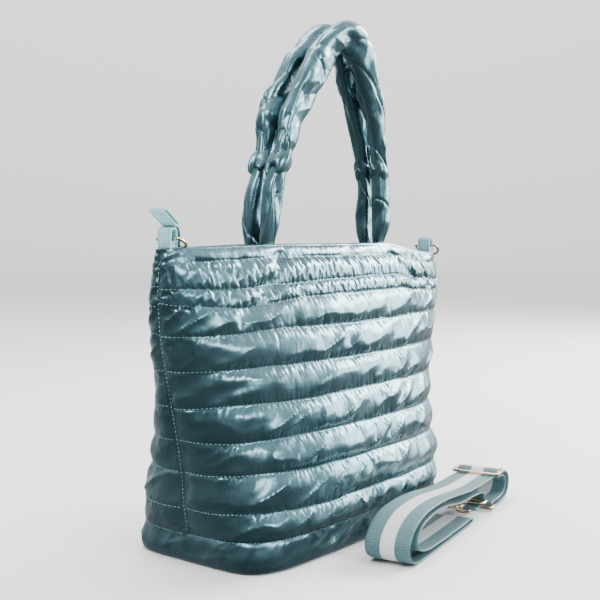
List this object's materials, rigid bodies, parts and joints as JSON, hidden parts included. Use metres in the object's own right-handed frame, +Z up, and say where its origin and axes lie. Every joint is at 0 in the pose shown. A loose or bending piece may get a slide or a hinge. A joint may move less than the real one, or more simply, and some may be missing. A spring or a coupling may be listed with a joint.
{
  "type": "tote bag",
  "caption": "Padded zip-top tote bag quilted in level channels, with knotted fabric handles, side D-rings and a folded webbing shoulder strap beside it.",
  "frame": {"origin": "on the floor under the bag, on its flat base", "axes": "+Z up; X along the bag's length with the zipper end tab at -X; the front face and the folded strap are on -Y"},
  "size_m": [0.4687, 0.2661, 0.5128],
  "materials": {
    "metallic_nylon": "metallic teal-grey coated nylon, soft gloss",
    "pale_leather": "smooth pale teal leather, satin",
    "zipper_tape": "woven tape, matte",
    "striped_webbing": "woven webbing, teal with a white middle stripe, slight sheen",
    "gold_metal": "polished pale rose-gold plating"
  },
  "bodies": {
    "root": {"bag_body": "metallic_nylon", "handle_front": "metallic_nylon", "handle_rear": "metallic_nylon", "zipper_tape": "zipper_tape", "zipper_end_tab": "pale_leather", "side_loop_left": "pale_leather", "side_loop_right": "pale_leather", "strap_webbing": "striped_webbing", "strap_slide": "gold_metal", "strap_clasp_a": "gold_metal", "strap_clasp_b": "gold_metal"},
    "left_ring": {"d_ring_left": "gold_metal"},
    "right_ring": {"d_ring_right": "gold_metal"}
  },
  "joints": [
    {"name": "left_ring_swing", "type": "hinge", "parent": "root", "child": "left_ring", "pos_m": [-0.2013, 0, 0.2921], "axis": [0, -1, 0], "range_deg": [0, 78]},
    {"name": "right_ring_swing", "type": "hinge", "parent": "root", "child": "right_ring", "pos_m": [0.2333, 0, 0.2831], "axis": [0, -1, 0], "range_deg": [0, 235]}
  ]
}
